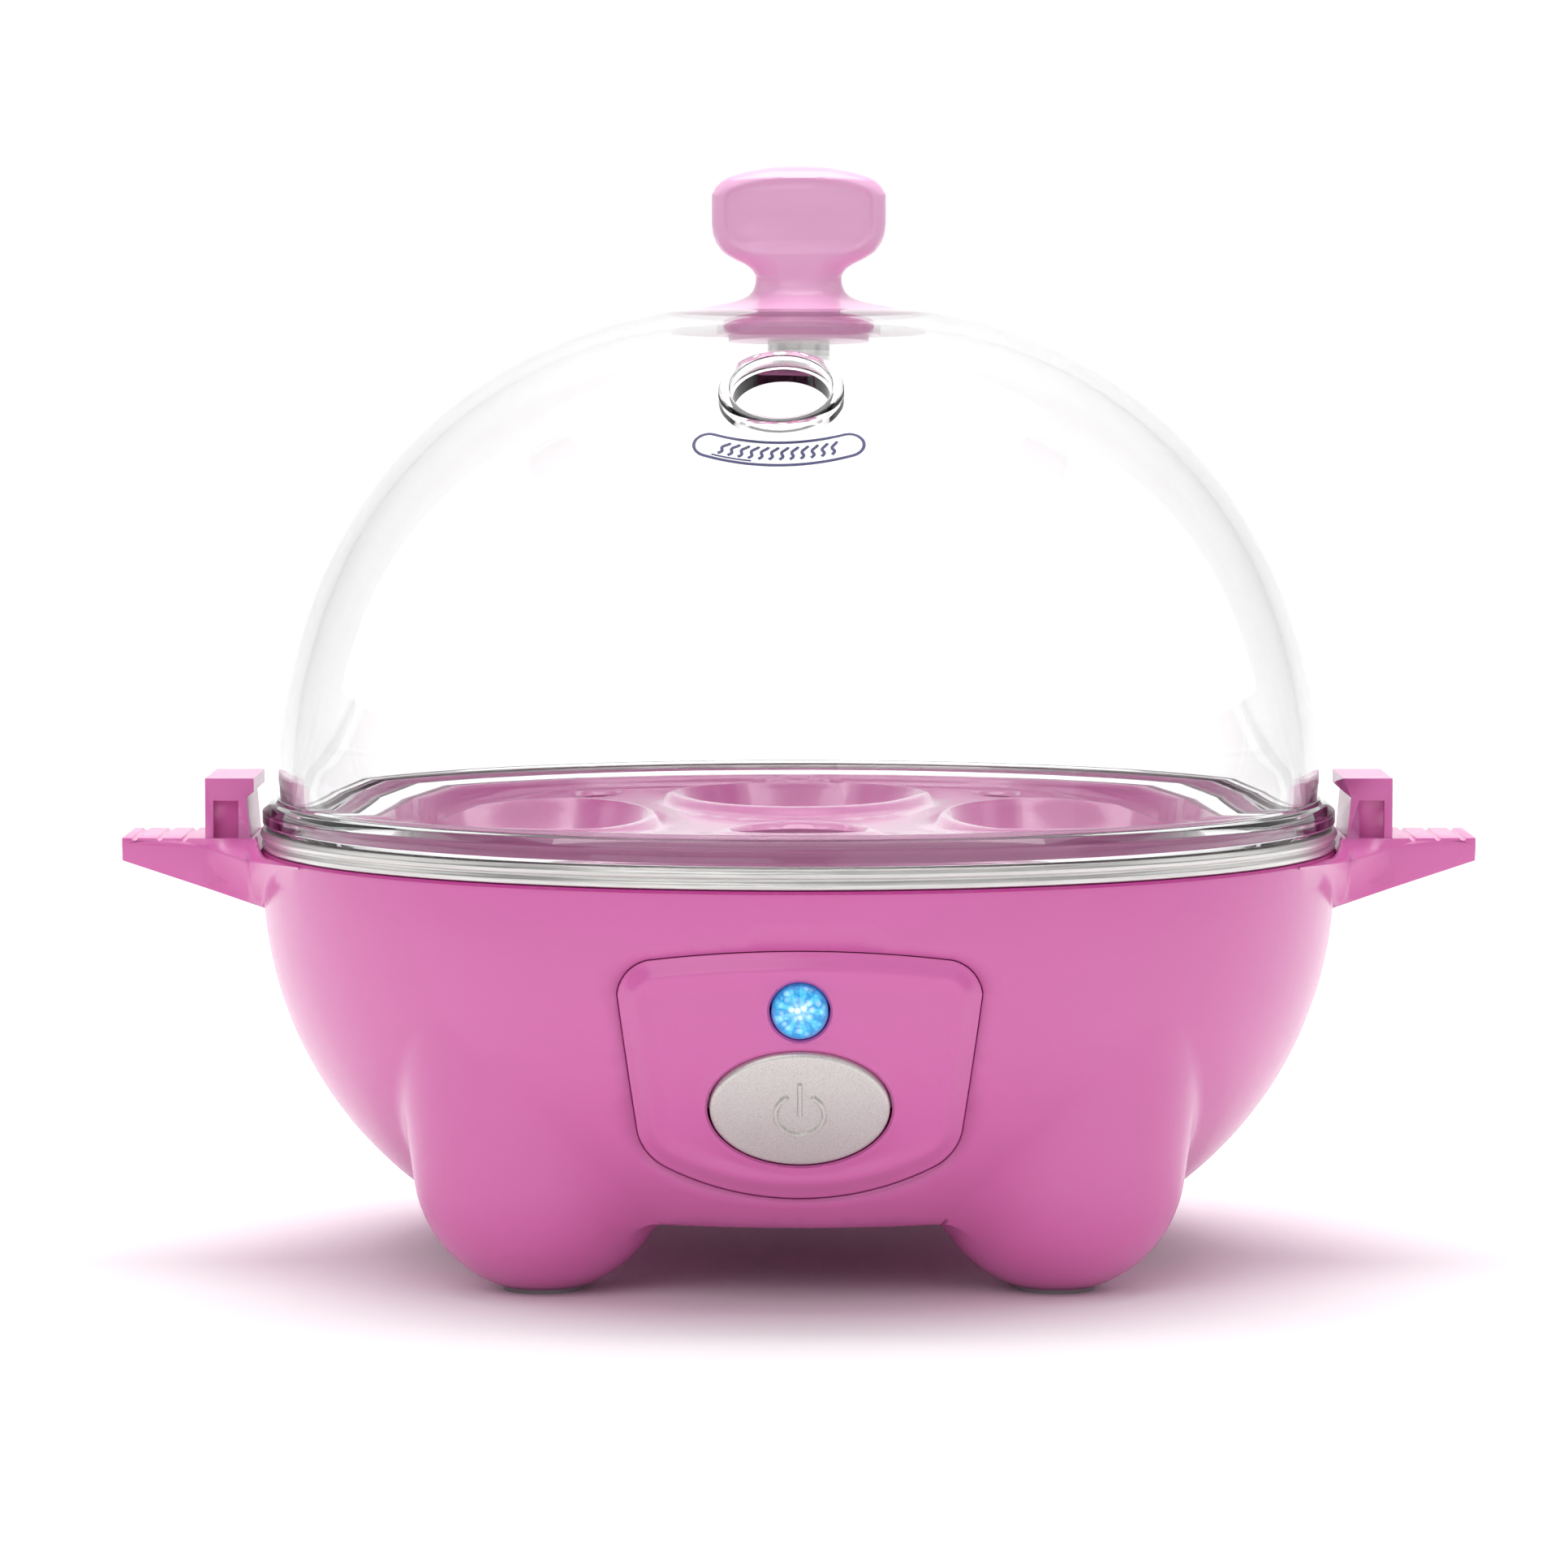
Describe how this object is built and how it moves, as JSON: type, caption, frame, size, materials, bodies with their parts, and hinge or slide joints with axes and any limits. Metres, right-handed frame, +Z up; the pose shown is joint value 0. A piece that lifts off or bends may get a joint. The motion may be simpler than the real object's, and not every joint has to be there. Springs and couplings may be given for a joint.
{
  "type": "egg cooker",
  "caption": "Electric steam egg cooker: pink bowl base on ball legs, steel water pan, lift-out egg tray, clear dome lid with knob and steam vent, push power button.",
  "frame": {"origin": "on the table under the dome's axis", "axes": "+Z up, +X to the right along the handles seen from the front, front (button) at -Y"},
  "size_m": [0.183, 0.1474, 0.1478],
  "materials": {
    "pink_plastic": "semi-gloss moulded plastic",
    "knob_pink": "semi-gloss moulded plastic, lighter pink",
    "tray_pink": "glossy moulded plastic",
    "clear_plastic": "clear moulded plastic, polished",
    "satin_silver": "satin silver paint on plastic",
    "blue_lens": "translucent blue, faceted inside",
    "lamp_body": "clear moulded lamp",
    "stainless": "brushed stainless steel",
    "magenta_silicone": "soft silicone",
    "black_rubber": "moulded rubber",
    "foot_rubber": "grey moulded rubber",
    "black_plastic": "moulded plastic",
    "spring_steel": "drawn wire",
    "zinc_steel": "zinc-plated steel",
    "aluminium_plate": "rolled sheet",
    "element_sheath": "heat-tinted steel tube",
    "ceramic_white": "glazed ceramic body with a metal cap",
    "white_sleeve": "white glass-fibre or nylon",
    "board_green": "lacquered circuit board",
    "wire_white": "silicone wire insulation",
    "wire_red": "plastic wire insulation",
    "clear_cap": "stainless screw"
  },
  "bodies": {
    "base": {"outer_housing": "pink_plastic", "control_panel": "pink_plastic", "indicator_lens": "blue_lens", "indicator_lamp": "lamp_body", "lamp_grommet": "black_rubber", "button_spring": "spring_steel", "switch_bracket": "zinc_steel", "push_switch": "black_plastic", "switch_screws": "zinc_steel", "heating_plate": "stainless", "plate_gasket": "magenta_silicone", "heat_spreader": "aluminium_plate", "heating_element": "element_sheath", "thermostat": "ceramic_white", "thermostat_screws": "zinc_steel", "thermal_fuse": "white_sleeve", "fuse_clip": "zinc_steel", "plate_nuts": "zinc_steel", "plate_screws": "zinc_steel", "bottom_cover": "pink_plastic", "cover_screws": "zinc_steel", "circuit_board": "board_green", "board_screws": "zinc_steel", "buzzer": "black_plastic", "terminal_block": "white_sleeve", "cord_gland": "black_rubber", "mains_wires": "wire_white", "heater_wires": "wire_white", "switch_wires": "wire_red", "lamp_wires": "wire_red", "foot_pad_front_left": "foot_rubber", "foot_pad_front_right": "foot_rubber", "foot_pad_rear_left": "foot_rubber", "foot_pad_rear_right": "foot_rubber"},
    "button": {"power_button": "satin_silver", "switch_plunger": "black_plastic"},
    "tray": {"egg_tray": "tray_pink"},
    "lid": {"dome_lid": "clear_plastic", "lid_knob": "knob_pink", "knob_washer": "knob_pink", "knob_screw": "clear_cap"}
  },
  "joints": [
    {"name": "button_press", "type": "slide", "parent": "base", "child": "button", "axis": [0, 0.8838, 0.4679], "range_m": [0, 0.0022], "stiffness_N_per_m": 400, "deforming": ["button_spring"]},
    {"name": "tray_lift", "type": "slide", "parent": "base", "child": "tray", "axis": [0, 0, 1], "range_m": [0, 0.1]},
    {"name": "lid_lift", "type": "slide", "parent": "tray", "child": "lid", "axis": [0, 0, 1], "range_m": [0, 0.12]}
  ]
}
